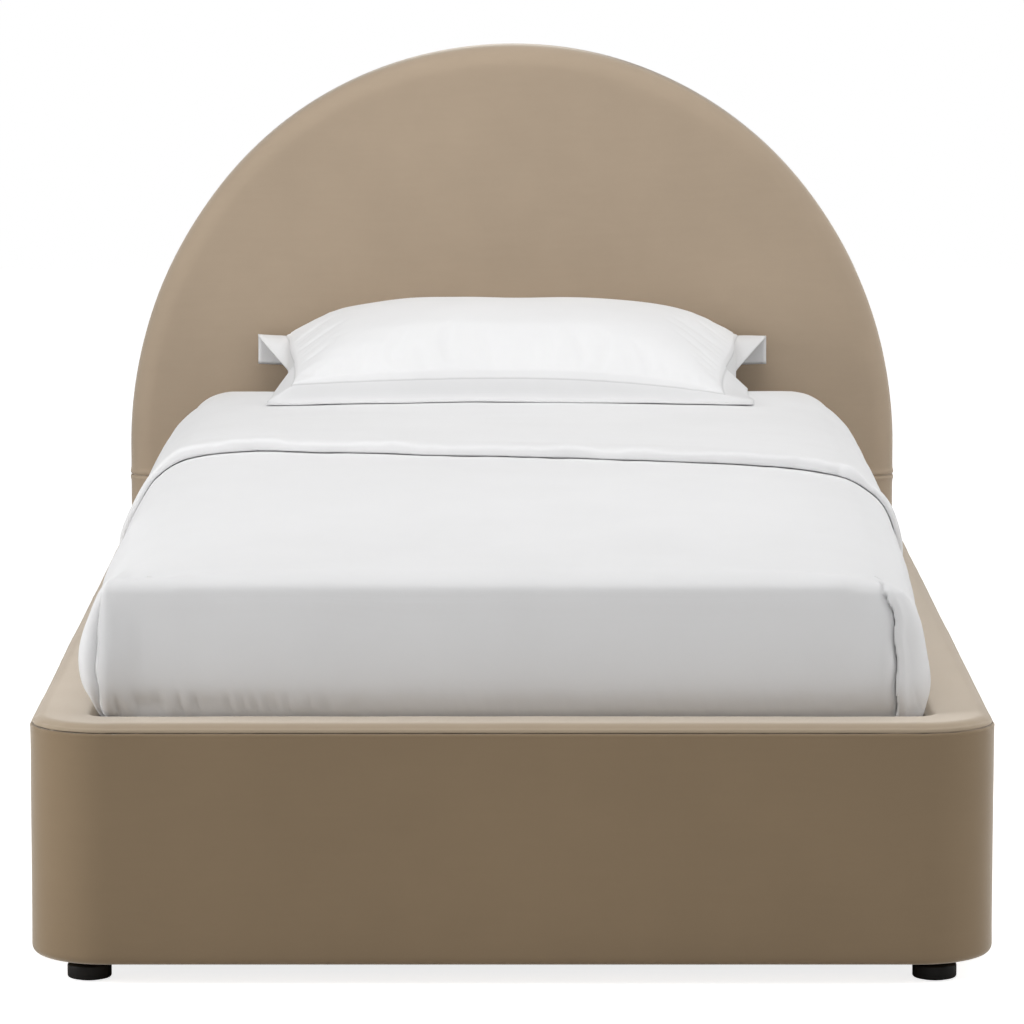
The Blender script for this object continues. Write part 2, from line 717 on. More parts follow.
def arched_velvet(section, low):
    """The velvet above the seam: up one side, over the arch's three arcs and down the other side"""
    top, side = arch_places()
    left = Vector((-side.x, side.y, side.z))
    turn = math.atan2(3, 4)
    rows = seam_rows(side.z - low)
    bm = bmesh.new()
    last = chain(bm, [(HALF - u, HEAD_Y + v, low) for u, v in section])
    for step in rows:
        last = sweep(bm, last, 1, way=(0, 0, step))
    for centre, angle, steps in ((side, turn, 26), (top, math.pi - 2 * turn, 72), (left, turn, 26)):
        last = sweep(bm, last, steps, centre, (0, -1, 0), angle)
    for step in reversed(rows):
        last = sweep(bm, last, 1, way=(0, 0, -step))
    weld(bm)
    crowned_front(bm, low)
    return bm


def skirt_velvet(section, high):
    """The velvet below the seam: both edges, then the flat front between them"""
    bm = bmesh.new()
    last = chain(bm, [(HALF - u, HEAD_Y + v, BASE_Z) for u, v in section])
    for step in reversed(seam_rows(high - BASE_Z)):
        last = sweep(bm, last, 1, way=(0, 0, step))
    bmesh.ops.mirror(bm, geom=bm.verts[:] + bm.edges[:] + bm.faces[:], axis="X", merge_dist=0)
    inner = HALF - section[0][0]
    edges = [e for e in open_edges(bm) if all(abs(v.co.x - inner) < 1e-6 for v in e.verts)]
    steps = 40
    for k in range(steps):
        verts, edges = extruded(bm, edges)
        bmesh.ops.translate(bm, verts=verts, vec=(-2 * inner / steps, 0, 0))
    return bm


class BED_OT_headboard_velvet(bpy.types.Operator):
    """Stretches the velvet over the arched headboard, above and below its sewn seam"""
    bl_idname = "bed.headboard_velvet"
    bl_label = "Headboard velvet"

    def execute(self, context):
        section = head_section()
        gap = 0.1 * MM
        head_piece(arched_velvet(section, HEAD_SEAM_Z + gap), "headboard_face", "headboard_cover")
        head_piece(skirt_velvet(section, HEAD_SEAM_Z - gap), "headboard_skirt", "headboard_lower_cover")
        return {"FINISHED"}


# Bedding

def rolled(y):
    """How far the mattress's top has sunk towards the foot"""
    return smooth(1 - (y - FOOT_Y) / ROLL_LONG)


def closed_stations(long_n, short_n, turn_n):
    """Stations once round the mattress: (side, share, cosine, sine) of the outline at each"""
    found = []
    for sx, sy, start in ((1, -1, -90), (1, 1, 0), (-1, 1, 90), (-1, -1, 180)):
        found += [(sx, sy, *polar((0, 0), 1, start + 90 * k / turn_n)) for k in range(turn_n + 1)]
        if start in (-90, 90):
            found += [(sx, mix(sy, -sy, k / long_n), sx, 0) for k in range(1, long_n)]
        else:
            found += [(mix(sx, -sx, k / short_n), sy, 0, sy) for k in range(1, short_n)]
    return found + found[:1]


def on_outline(station, inset):
    """The point of the mattress's outline at a station, moved in by inset"""
    kx, ky, c, s = station
    r = max(CORNER_R - inset, 0)
    return kx * (MATTRESS_X - inset - r) + r * c, MIDDLE_Y + ky * (HALF_LONG - inset - r) + r * s


# Up the mattress from the middle of its underside: (inset in mm, share of its height)
MATTRESS_ROWS = [(MIDDLE, 0), (300, 0), (120, 0), (40, 0), (14, 0), (5, 0.008), (1.5, 0.025),
                 (0.5, 0.04), (3.5, 0.052), (4.5, 0.06), (3, 0.09), (4, 0.2), (5, 0.4), (4.5, 0.55),
                 (3.2, 0.7), (3.8, 0.745), (4.6, 0.757), (1.2, 0.768), (0.2, 0.782), (1.2, 0.796),
                 (5.4, 0.808), (6, 0.825), (8, 0.85), (14, 0.895), (22, 0.922), (34, 0.945), (54, 0.965),
                 (80, 0.979), (120, 0.987), (170, 0.992), (230, 0.996), (300, 0.998), (390, 0.998),
                 (MIDDLE, 0.998)]


class BED_OT_mattress(bpy.types.Operator):
    """Makes the mattress with its two piped edges and its quilted ticking"""
    bl_idname = "bed.mattress"
    bl_label = "Mattress"

    def execute(self, context):
        around = closed_stations(150, 76, 14)
        tall = BED_HIGH.z - BED_LOW.z

        def place(i, j):
            inset, share = MATTRESS_ROWS[j]
            x, y = on_outline(around[i], inset * MM)
            z = BED_LOW.z + share * (tall - FOOT_ROLL * rolled(y))
            if share > 0.83:
                quilt = abs(math.sin((x + y) * 26) * math.sin((x - y) * 26)) ** 0.5
                z -= (1 - quilt) * 2.2 * MM * smooth((share - 0.83) / 0.06)
            return x, y, z

        bm = bmesh.new()
        shaped_grid(bm, len(around) - 1, len(MATTRESS_ROWS) - 1, place)
        obj = piece("mattress_ticking", bm, "ticking", "mattress", ("mattress",))
        return {"FINISHED"}


# Up the fitted sheet: (out from the mattress's outline in mm, height in mm)
SHEET_RISE = [(1.2, 249), (1.3, 256), (1.3, 264), (1.3, 280), (0.8, 300), (0.6, 330), (0.6, 370),
              (0.9, 410), (1.3, 440), (1.2, 456), (-1.5, 467), (-7, 478), (-15, 487.5), (-25, 495),
              (-38, 501.5), (-56, 506), (-80, 509.4), (-110, 511.3), (-150, 512.6), (-200, 513.5),
              (-260, 514.2), (-340, 514.3), (-420, 514.3), (-MIDDLE, 514.3)]


def at_share(y, z):
    """A height on the bedding, sunk as the mattress is at that place along the bed"""
    return z - FOOT_ROLL * rolled(y) * min(max((z - BED_LOW.z) / (MATTRESS_TOP - BED_LOW.z), 0), 1.02)


class BED_OT_fitted_sheet(bpy.types.Operator):
    """Stretches the fitted sheet over the mattress, with its gathered hem"""
    bl_idname = "bed.fitted_sheet"
    bl_label = "Fitted sheet"

    def execute(self, context):
        around = closed_stations(190, 100, 20)
        rows = [on_curve(SHEET_RISE, k / 3) for k in range(3 * (len(SHEET_RISE) - 1) + 1)]

        def place(i, j):
            out, z = rows[j][0] * MM, rows[j][1] * MM
            x, y = on_outline(around[i], -out)
            z = at_share(y, z)
            gather = smooth((0.285 - z) / 0.036) * wave(x, y, 0, 9 * MM) * 1.1 * MM
            gather -= abs(gather) * 0.6
            pull = wave(x, y, 0, 150 * MM) * 0.5 * MM
            tug = wave(x * 0.6, y, z * 2, 45 * MM) * 0.35 * MM * smooth((z - 0.44) / 0.05)
            corner = math.exp(-((abs(x) - 0.46) ** 2 + (y - 0.93) ** 2) / 0.01)
            corner *= wave(x - y, x + y, z, 12 * MM) * 0.5 * MM
            c, s = around[i][2:]
            return x + c * gather, y + s * gather, z + pull + tug + corner

        bm = bmesh.new()
        shaped_grid(bm, len(around) - 1, len(rows) - 1, place)
        obj = piece("sheet_cotton", bm, "white_cotton", "mattress", ("fitted_sheet",))
        wall(obj, SHEET_THICK)
        return {"FINISHED"}


# Sections of the duvet from its hem, up and over to the middle: (out from the mattress's outline, height)
# in mm. One is for the sides, one for the foot and one for the lining, with the same number of points.
DUVET_SIDE = [(9, 283), (10, 298), (11.5, 314), (17, 330), (25.5, 352), (30.5, 378), (30.5, 404),
              (25, 430), (15.5, 455), (3, 478), (-8, 490.5), (-20.5, 500.5), (-35, 508.5),
              (-52.5, 514.5), (-90.5, 521.5), (-152.5, 526.5), (-262.5, 528.6), (-382.5, 529),
              (-MIDDLE, 529)]
DUVET_FOOT = [(10, 283), (10.5, 298), (10.5, 311), (14, 322), (20.5, 338), (25.5, 364), (26.5, 400),
              (25.5, 438), (23.5, 468), (21.5, 491), (16, 509.5), (-7, 522.5), (-35, 527.4),
              (-52.5, 528.6), (-90.5, 529), (-152.5, 529), (-262.5, 529), (-382.5, 529), (-MIDDLE, 529)]
DUVET_LINING = [(3, 283), (3, 298), (3, 314), (3, 330), (3, 352), (3, 378), (3, 404), (3, 430), (3, 450),
                (2, 464), (-6, 480), (-16, 491), (-26, 498), (-36, 503), (-82, 511.6), (-152.5, 515.6),
                (-262.5, 517.2), (-382.5, 517.4), (-MIDDLE, 517.4)]
UPPER_SKIN = (DUVET_SIDE, DUVET_FOOT)
LOWER_SKIN = (DUVET_LINING, DUVET_LINING)
LAST = len(DUVET_SIDE) - 1
SHOULDER = 9                        # the point of the sections from which they run inwards

# The folds at the duvet's foot corners: how far in their middle lies, where they run in degrees from the
# side, how much further round near their top, how high they reach, how deep they are as a share of the
# crease, how wide they are, how far the cloth swells behind them and how dark they look
RIGHT_FOLD = SimpleNamespace(inset=DUVET_CORNER, turn=80, more=16, top=0.484, deep=1, wide=7 * MM, swell=0,
                             dark=0.45)
LEFT_FOLD = SimpleNamespace(inset=2 * MM, turn=70, more=0, top=0.466, deep=1.6, wide=4.5 * MM, swell=2.5 * MM,
                            dark=0.9)

# How much of the foot's boxier section the duvet's corners have. The right one keeps more of the side's.
FOOT_SHARE_RIGHT, FOOT_SHARE_LEFT = 0.55, 0.6


def drops(section):
    """Close pairs (inset, how far the section lies below its middle there), from its shoulder inwards"""
    points = [on_curve(section, SHOULDER + (LAST - SHOULDER) * k / 160) for k in range(161)]
    return [(-out * MM, (section[-1][1] - z) * MM) for out, z in points]


DROPS = {id(section): drops(section) for section in (DUVET_SIDE, DUVET_FOOT, DUVET_LINING)}


def drop(section, inset):
    """How far a section of the duvet lies below its middle at an inset from the mattress's outline"""
    table = DROPS[id(section)]
    k = min(max(bisect.bisect_right(table, (inset,)), 1), len(table) - 1)
    (a, low), (b, high) = table[k - 1], table[k]
    return mix(low, high, min(max((inset - a) / (b - a), 0), 1))


def duvet_stations(side_n, turn_n, foot_n):
    """Stations from the head end of the right side round the foot to the head end of the left side, each
    (side, share along the side, cosine, sine, how much of the foot's section it has, degrees round the
    corner)"""
    found = [(1, k / side_n, 1, 0, 0, 0) for k in range(side_n)]
    for k in range(turn_n + 1):
        a = 90 * k / turn_n
        c, s = polar((0, 0), 1, a)
        found.append((1, 1, c, -s, FOOT_SHARE_RIGHT * smooth(a / 90), a))
    for k in range(1, foot_n):
        kx = mix(1, -1, k / foot_n)
        found.append((kx, 1, 0, -1, mix(FOOT_SHARE_RIGHT, 1, smooth((1 - kx) / 0.16)), 90))
    for k in range(turn_n, -1, -1):
        a = 90 * k / turn_n
        c, s = polar((0, 0), 1, a)
        found.append((-1, 1, -c, -s, mix(FOOT_SHARE_LEFT, 1, smooth(a / 90)), a))
    for k in range(side_n - 1, -1, -1):
        found.append((-1, k / side_n, -1, 0, FOOT_SHARE_LEFT * smooth((k / side_n - 0.86) / 0.14), 0))
    return found


def corner_radius(side, out, z):
    """Radius of the duvet's foot corners, seen from above. The left one is squarer above the rails."""
    r = max(DUVET_CORNER + out, 0)
    return mix(r, min(r, max(out, 4 * MM)), smooth((z - 0.312) / 0.03)) if side < 0 else r


def duvet_point(station, skin, t, head_y):
    """A point of one of the duvet's skins, where t counts the points of its sections from the hem"""
    kx, share, c, s, turned, angle = station
    side, foot = on_curve(skin[0], t), on_curve(skin[1], t)
    out = mix(side[0], foot[0], turned) * MM
    z = mix(side[1], foot[1], turned) * MM
    r = corner_radius(kx, out, z)
    x = kx * (MATTRESS_X + out - r) + r * c
    y = mix(head_y, FOOT_Y - out + r, share) + (r * s if angle else 0)
    if abs(kx) < 1:
        y = FOOT_Y - out
    if out < 0:
        lying = skin[0][-1][1] * MM - drop(skin[0], MATTRESS_X - abs(x)) - drop(skin[1], y - FOOT_Y)
        z = mix(z, lying, smooth(-out / (25 * MM)))
    return x, y, at_share(y, z)


def fold_y(x):
    """Where the turned-back layer ends"""
    s = sizes()
    uneven = wave(x, 0.3, 0, 120 * MM) * 5 + wave(x, 1.3, 0, 34 * MM) * 3.2
    uneven += max(wave(x, 2.3, 0, 15 * MM), 0) * 4.5
    return s.fold_middle - s.fold_slant * x + uneven * MM


def corner_fold(x, y, z):
    """The folds at the corners of the foot: how far the duvet lifts there, how far it slides towards the
    foot's middle, and how dark the fold's depth looks. On the left the foot's panel laps over the side's,
    and on the right the side's over the foot's."""
    side = 1 if x > 0 else -1
    fold = RIGHT_FOLD if side > 0 else LEFT_FOLD
    cx, cy = MATTRESS_X - fold.inset, FOOT_Y + fold.inset
    if y > cy or abs(x) < cx - 0.08:
        return 0, Vector(), 0
    angle = math.degrees(math.atan2(cy - y, max(abs(x) - cx, 0))) if abs(x) > cx else 90
    turn = fold.turn + fold.more * smooth((z - 0.43) / 0.04)
    off = math.radians(angle - turn) * (fold.inset + 24 * MM) + max(cx - abs(x), 0)
    off += wave(side, 0, z, 30 * MM) * 3 * MM
    off += 2.5 * MM * bell(z - 0.322, 0.01)
    over = -side * off
    tall = smooth((z - 0.298) / 0.02) * smooth((fold.top - z) / 0.035)
    if over > 0:
        lift = 2.6 * MM * bell(over - 6 * MM, 8 * MM)
        slide = -4.5 * MM * bell(over, 5 * MM)
    else:
        lift = -sizes().crease * (fold.deep * math.exp(over / fold.wide))
        lift += fold.swell * bell(over + 15 * MM, 7 * MM)
        slide = 0
    angle = math.radians(angle)
    along = Vector((-side * math.sin(angle), -math.cos(angle), 0))
    return lift * tall, along * -side * slide * tall, fold.dark * bell(over + 1.2 * MM, 1.8 * MM) * tall


def duvet_relief(x, y, z, single):
    """How far the duvet's filling and creases lift its surface. The single layer has puckers along its foot
    and beside the turned-back edge."""
    side = smooth((abs(x) - 0.44) / 0.04)
    front = smooth((FOOT_Y + 0.03 - y) / 0.04)
    top = wave(x, y, 0, 260 * MM) * 2.0 * MM + wave(x + 2, y, 0, 105 * MM) * 0.9 * MM
    top += wave(x, y + 4, 0, 42 * MM) * 0.3 * MM
    hang = wave(x, y, z / 3, 130 * MM) * 2.4 * MM + wave(x, y + 7, z / 3, 48 * MM) * 0.8 * MM
    flat = wave(x, y, z / 2, 190 * MM) * 1.4 * MM + wave(x + 9, y, z / 3, 60 * MM) * 0.5 * MM
    bulge = bell(z - 0.385, 0.05) * side * (-13 * MM if x > 0 else 9 * MM)
    relief = mix(mix(top, hang, side), flat, front) + bulge
    if single:
        left = smooth((-0.10 - x) / 0.32) * 0.85 + 0.15
        spread = abs(wave(x + 0.25 * (z - 0.3), 0.7, 0, 26 * MM))
        relief -= (1 - min(spread / 0.3, 1)) ** 2 * 5.5 * MM * bell(z - 0.322, 0.018) * front * left
        ahead = fold_y(x) - y
        if ahead > -0.02:
            relief += wave(x, y / 4, z / 3, 19 * MM) * 0.8 * MM * bell(ahead, 0.035)
    return relief * smooth((z - 0.30) / 0.03)


def smooth_corners(bm):
    """Evens out the top of the duvet's foot corners, where its sections meet"""
    corners = [v for v in bm.verts if abs(v.co.x) > MATTRESS_X - 80 * MM and v.co.y < FOOT_Y + 80 * MM
               and v.co.z > 0.462]
    for k in range(8):
        bmesh.ops.smooth_vert(bm, verts=corners, factor=0.5, use_axis_x=True, use_axis_y=True,
                              use_axis_z=True)
    bm.normal_update()


def lying_layer():
    """The duvet's layer that lies on the mattress: its upper skin and its lining, closed along their rim"""
    bm = bmesh.new()
    tuck = DUVET_HIGH.y - 9 * MM
    around = duvet_stations(190, 48, 230)
    for skin, fine in ((UPPER_SKIN, 5), (LOWER_SKIN, 1)):
        part = bmesh.new()
        stitched = part.verts.layers.float.new("stitched")
        shaped_grid(part, len(around) - 1, LAST * fine,
                    lambda i, j: duvet_point(around[i], skin, j / fine, tuck))
        weld(part)
        point_up(part)
        if skin is UPPER_SKIN:
            smooth_corners(part)
            moves = []
            for v in part.verts:
                lift, slide, v[stitched] = corner_fold(*v.co)
                moves.append((v, v.normal * (duvet_relief(*v.co, True) + lift) + slide))
            move_all(moves)
        else:
            bmesh.ops.reverse_faces(part, faces=part.faces)
        join(bm, part)
    bmesh.ops.bridge_loops(bm, edges=open_edges(bm))
    return bm


def turned_profile(thick):
    """The turned-back layer along the bed: (place along in mm, lift above the lower layer in mm). From 0 at
    its front edge; 100 to 1000 stand for the way to the head edge, and above that are mm beyond it."""
    under = [(20, 0.3), (12, 0.5), (6, 1.0), (2.0, 1.8)]
    hem = [(0.5, 3.4), (0.0, 5.6), (0.0, 8.0), (0.4, 10.4), (1.5, 12.6), (3.4, 14.3), (6.4, 15.5),
           (11, 16.1), (19, 16.2), (32, 15.7), (48, 14.6), (66, 12.9), (84, 11.2), (98, 10.4)]
    top = [(100 + 900 * k / 66, 10.0) for k in range(1, 66)]
    top += [(1000 - 900 * 11 / 760 * (1 - k / 5), 10.0 - 0.9 * k / 5) for k in range(1, 5)]
    fold = [(994 + 6 * math.sin(math.radians(a)), -1.0 + 10.5 * math.cos(math.radians(a)))
            for a in range(10, 171, 16)]
    return under + [(p, h * (thick / MM) / 12) for p, h in hem + top] + fold + [(975, -11.0), (970, -10.6)]


def turned_point(across, along, lift):
    """A point of the turned-back layer: across runs from -1 to 1 over the bed, from one hem to the other"""
    side = -1 if across < 0 else 1
    t = LAST - abs(across) * LAST
    out, z = on_curve(DUVET_SIDE, t)
    low_out, low_z = on_curve(DUVET_SIDE, t - 0.05)
    up_out, up_z = on_curve(DUVET_SIDE, t + 0.05)
    n = Vector((side * (up_z - low_z), 0, low_out - up_out))
    n = n.normalized() if n.length > 1e-6 else Vector((0, 0, 1))
    x, z = side * (MATTRESS_X + out * MM), z * MM
    y = fold_y(x) + (max(0.45 - z, 0)) * 0.35
    near = 0
    if along < 100:
        y += along * MM
        near = bell(along, 32)
    else:
        y = mix(y + 0.1, DUVET_HIGH.y, min((along - 100) / 900, 1)) + max(along - 1000, 0) * MM
    thin = mix(1.0, 0.6, smooth((abs(x) - 0.43) / 0.05)) * mix(1, 0.25, smooth((0.335 - z) / 0.04))
    ripple = 1 + (wave(x, y / 6, z / 2, 19 * MM) * 0.2 + wave(x, y / 6, z / 2, 60 * MM) * 0.2) * near
    loose = wave(x, y, 3.1, 150 * MM) * 0.6 + wave(x / 4, y, 5.1, 34 * MM) * 0.7
    high = lift * thin * ripple + (loose if lift > 2 else 0)
    return Vector((x, y, z)) + n * (high * MM + duvet_relief(x, y, z, False))


def turned_layer():
    """The duvet's layer that is turned back: over the fold at the head, along the top, round its hem and
    back underneath"""
    bm = bmesh.new()
    across = 240
    profile = turned_profile(sizes().turned_layer)
    shaped_grid(bm, across, len(profile) - 1, lambda i, k: turned_point(2 * i / across - 1, *profile[k]))
    weld(bm)
    bmesh.ops.holes_fill(bm, edges=open_edges(bm), sides=0)
    bmesh.ops.recalc_face_normals(bm, faces=bm.faces)
    return bm


class BED_OT_duvet(bpy.types.Operator):
    """Lays the duvet over the mattress, tucks it inside the rails and turns its upper part back"""
    bl_idname = "bed.duvet"
    bl_label = "Duvet"

    def execute(self, context):
        bm = lying_layer()
        join(bm, turned_layer())
        obj = piece("duvet_cotton", bm, "white_cotton", "duvet", ("duvet",), outward=False)
        return {"FINISHED"}


def relax(obj, held, pressure, slack, limit):
    """Lets the cloth of a stuffed piece settle under its own pressure. Its held points stay, and no point
    moves further than the limit."""
    group = obj.vertex_groups.new(name="held")
    group.add(held, 1.0, "REPLACE")
    cloth = obj.modifiers.new("settle", "CLOTH")
    settings = cloth.settings
    settings.quality = 6
    settings.mass = 0.25
    settings.tension_stiffness = 12
    settings.compression_stiffness = 12
    settings.shear_stiffness = 6
    settings.bending_stiffness = 2.5
    settings.use_pressure = True
    settings.uniform_pressure_force = pressure
    settings.shrink_min = -slack
    settings.vertex_group_mass = "held"
    settings.effector_weights.gravity = 0
    cloth.collision_settings.use_collision = False
    cloth.collision_settings.use_self_collision = False
    scene = bpy.context.scene
    start = scene.frame_current
    for k in range(1, 21):
        scene.frame_set(k)
    settled = obj.evaluated_get(bpy.context.evaluated_depsgraph_get()).data
    moved = [v.co.copy() for v in settled.vertices]
    obj.modifiers.remove(cloth)
    obj.vertex_groups.remove(group)
    scene.frame_set(start)
    for v, place in zip(obj.data.vertices, moved):
        step = place - v.co
        v.co += step * min(1, limit / max(step.length, 1e-9))


def pillow_places(half, flange, count):
    """Places across the pillow: closer together towards its seams, and over its flange"""
    seam = half - flange
    inside = [seam * math.copysign(abs(t) ** 0.82, t) for t in (2 * k / count - 1 for k in range(count + 1))]
    edge = [seam + 1.4 * MM, seam + 2.9 * MM] + [seam + flange * k / 8 for k in range(1, 9)]
    near = [seam - 2.6 * MM, seam - 1.2 * MM]
    left = [-e for e in reversed(edge)] + inside[:1] + [-n for n in reversed(near)]
    return left + inside[1:-1] + near + inside[-1:] + edge


# Rows of the pillow's grid, counted from its edge, that the cloth keeps in place: its flange, its seam and
# what lies beside the seam
HELD_ROWS = 12

# Height of the turned-back layer's top in the middle of the bed, a little pressed by the pillow
PILLOW_ON_DUVET = (DUVET_SIDE[-1][1] + 10.6) * MM


def thin_cloth(x, y):
    """How grey the pillow's case looks at a flat place: a little on its flange, more in its stitches"""
    off = max(abs(x) - PILLOW_HIGH.x, abs(y) - PILLOW_HALF_Y) + sizes().flange
    return 0.14 * smooth(off / (3 * MM)) + 0.26 * bell(off - 3.4 * MM, 1.2 * MM)


def resting_height(x, y):
    """Height of the sheet or the turned-back duvet under the pillow"""
    on_sheet = PILLOW_LOW.z - 0.4 * MM - 16 * MM * smooth((abs(x) - 0.40) / 0.08)
    on_duvet = PILLOW_ON_DUVET - drop(DUVET_SIDE, MATTRESS_X - abs(x)) + duvet_relief(x, y, 0.53, False)
    return mix(on_duvet, on_sheet, smooth((y - DUVET_HIGH.y + 2 * MM) / (16 * MM)))


def pillow_point(x, y, up):
    """A point of the pillow from its flat place (x, y), on its upper or lower skin"""
    s = sizes()
    seam_x, seam_y = PILLOW_HIGH.x - s.flange, PILLOW_HALF_Y - s.flange
    side = 1 if x > 0 else -1
    u, v = min(abs(x) / seam_x, 1), min(abs(y) / seam_y, 1)
    past_x, past_y, back = abs(x) - seam_x, -y - seam_y, y - seam_y
    off = max(past_x, past_y, back)

    # The seam's plane: lower at the front and at its corners, more so on the right
    along = min(max(y / seam_y, -1), 1) * 0.5 + 0.5
    front_z = (57 - (22 if side > 0 else 9) * u * u) * MM
    z = PILLOW_LOW.z + mix(front_z, 71 * MM, 1 - (1 - along) ** 2)
    inner_x, inner_y = side * seam_x * u, min(max(y, -seam_y), seam_y)
    narrow = mix(0.925 if side < 0 else 0.89, 1, smooth(along * 1.4))
    px = inner_x * (1 - 0.03 * (1 - (inner_y / seam_y) ** 2)) * narrow
    py = PILLOW_MIDDLE_Y + inner_y * (1 - 0.035 * (1 - u * u))
    py += 27 * MM * smooth(along * 2 - 1) - 17 * MM * smooth(1 - along * 2)
    room = z - resting_height(px, py) - 1.1 * MM

    # The flange hangs from the seam until it rests
    sag_x = sag_y = 0.0
    if past_x > 0:
        turn = smooth((seam_y - y) / 0.07)
        lean = max(1 - 0.93 * turn, math.sqrt(max(1 - (room / s.flange) ** 2, 0)))
        px += side * past_x * lean * (1 + 0.06 * wave(side, y, 0, 60 * MM))
        sag_x = min(0.96 * s.flange * turn, room) * past_x / s.flange
    if past_y > 0:
        share = past_y / s.flange
        py -= past_y * 0.3 + 12 * MM * smooth((share - 0.6) / 0.4)
        sag_y = room * smooth(share / 0.8) + 0.8 * MM * smooth((share - 0.8) / 0.2)
    if room > 0:
        z -= room * (1 - (1 - min(sag_x / room, 1)) * (1 - min(sag_y / room, 1))) if past_y > 0 else sag_x
    if back > 0:
        py += min(back, 6 * MM) + 0.03 * back
        z -= max(back - 3 * MM, 0)
    if past_y > 0 or past_x > 0:
        loose = 0.4 if past_y > 0 else 2.2
        z += (wave(x, y, 0.2, 55 * MM) + 0.5) * loose * MM * max(past_x, past_y, 0) / s.flange

    crown = math.sqrt(max(1 - u ** 2.8, 0) * max(1 - v ** 2.3, 0))
    dents = wave(x, y, up * 2, 200 * MM) * 3.4 * MM + wave(x, y, up * 5, 80 * MM) * 1.2 * MM
    pucker = (1 + wave(x, y, 0.5, 13 * MM)) * 0.5 * MM * bell(off, 9 * MM)
    seam = (1.8 * bell(off, 1.6 * MM) - 1.0 * bell(off - 4 * MM, 2 * MM)) * MM
    high = crown * (s.pillow_full + dents) + pucker + 0.9 * MM + (seam if up > 0 else 0)
    return px, py, z + up * high


class BED_OT_pillow(bpy.types.Operator):
    """Fills the pillow, sews its flange round it and lets its cloth settle"""
    bl_idname = "bed.pillow"
    bl_label = "Pillow"

    def execute(self, context):
        s = sizes()
        xs = pillow_places(PILLOW_HIGH.x, s.flange, 110)
        ys = pillow_places(PILLOW_HALF_Y, s.flange, 84)

        def held(i, j):
            return min(i, j, len(xs) - 1 - i, len(ys) - 1 - j) <= HELD_ROWS

        bm = bmesh.new()
        for up in (1, -1):
            part = bmesh.new()
            part.verts.layers.float.new("stitched")
            shaped_grid(part, len(xs) - 1, len(ys) - 1, lambda i, j: pillow_point(xs[i], ys[j], up), held,
                        lambda i, j: thin_cloth(xs[i], ys[j]))
            point_up(part)
            if up < 0:
                bmesh.ops.reverse_faces(part, faces=part.faces)
            join(bm, part)
        bmesh.ops.bridge_loops(bm, edges=open_edges(bm))
        obj = piece("pillow_cotton", bm, "white_cotton", "pillow", ("pillow",), outward=False)
        relax(obj, [v.index for v in obj.data.vertices if v.select], pressure=3.0, slack=0.012, limit=9 * MM)
        for v in obj.data.vertices:
            v.co.z = max(v.co.z, resting_height(v.co.x, v.co.y) + 0.2 * MM)
            v.co.y = min(v.co.y, HEAD_Y - 3 * MM)
        return {"FINISHED"}


# Fittings and carried-over nodes

class BED_OT_feet(bpy.types.Operator):
    """Turns the four corner feet, each with its waist and its pad"""
    bl_idname = "bed.feet"
    bl_label = "Corner feet"

    def execute(self, context):
        for node in ("front_left_foot", "front_right_foot", "rear_left_foot", "rear_right_foot"):
            low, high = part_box(node)
            centre = ((low.x + high.x) / 2, (low.y + high.y) / 2, 0)
            r, tall = (high.x - low.x) / 2, high.z - low.z
            pad, neck, edge, waist = r - 8 * MM, r - 9 * MM, 3 * MM, tall * 0.62
            profile = [(0, 0), (neck, 0), (pad, 0.8 * MM), (pad, 1.6 * MM), (r - 4 * MM, 1.6 * MM)]
            profile += arc((r - edge, 4.6 * MM), edge, -80, 0, 6) + arc((r - edge, waist), edge, 0, 80, 6)
            profile += [(neck + 2 * MM, waist + 3.6 * MM), (neck, waist + 5.4 * MM), (neck, tall), (0, tall)]
            bm = bmesh.new()
            outline = chain(bm, [(centre[0] + a, centre[1], low.z + z) for a, z in profile])
            bmesh.ops.spin(bm, geom=outline, cent=centre, axis=(0, 0, 1), angle=2 * math.pi, steps=64,
                           dvec=(0, 0, 0), use_merge=True, use_duplicate=False)
            piece(node + "_turned", bm, "black_plastic", "frame", (node,))
        return {"FINISHED"}


# The CAD nodes that are shown as they are, for each material
KEPT = {
    "pine_upright": ("headboard_left_post", "headboard_right_post", "footboard_corner_blocks",
                     "front_support_leg", "rear_support_leg"),
    "pine_across": ("headboard_arch_rib", "headboard_cross_rails", "footboard_frame"),
    "pine_along": ("left_rail_frame", "right_rail_frame", "left_ledger", "right_ledger", "middle_beam"),
    "plywood": ("headboard_face_board", "left_rail_boards", "right_rail_boards", "footboard_boards"),
    "back_lining": ("headboard_back_board",),
    "foam": ("headboard_padding", "left_rail_padding", "right_rail_padding", "footboard_padding",
             "footboard_corner_padding"),
    "slat_wood": tuple(f"slat_{i:02d}" for i in range(1, 13)),
    "webbing": ("left_strap", "right_strap"),
    "zinc_steel": ("corner_brackets", "beam_hangers"),
    "screw_steel": ("bracket_bolts", "wood_screws", "foot_screws"),
    "black_plastic": ("front_glide", "rear_glide"),
}


class BED_OT_kept_parts(bpy.types.Operator):
    """Gives timber, boards, foam, straps, metal and glides their materials"""
    bl_idname = "bed.kept_parts"
    bl_label = "Inner parts"

    def execute(self, context):
        for material, nodes in KEPT.items():
            for node in nodes:
                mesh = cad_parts[node].data
                mesh.materials.clear()
                mesh.materials.append(finish(material))
        return {"FINISHED"}


# Stage

# The photograph's camera, which looks straight along the bed
CAMERA_LENS = 210.32
CAMERA_PLACE = (0, -8.0347, 1.449)
CAMERA_DOWN = 7.177                 # degrees

FLOOR_HALF = 9
FLOOR_GLOW = (1, 1, 1)              # near the bed, and brighter where the lamps no longer reach
FLOOR_GLOW_AWAY = (1.25, 1.25, 1.25)

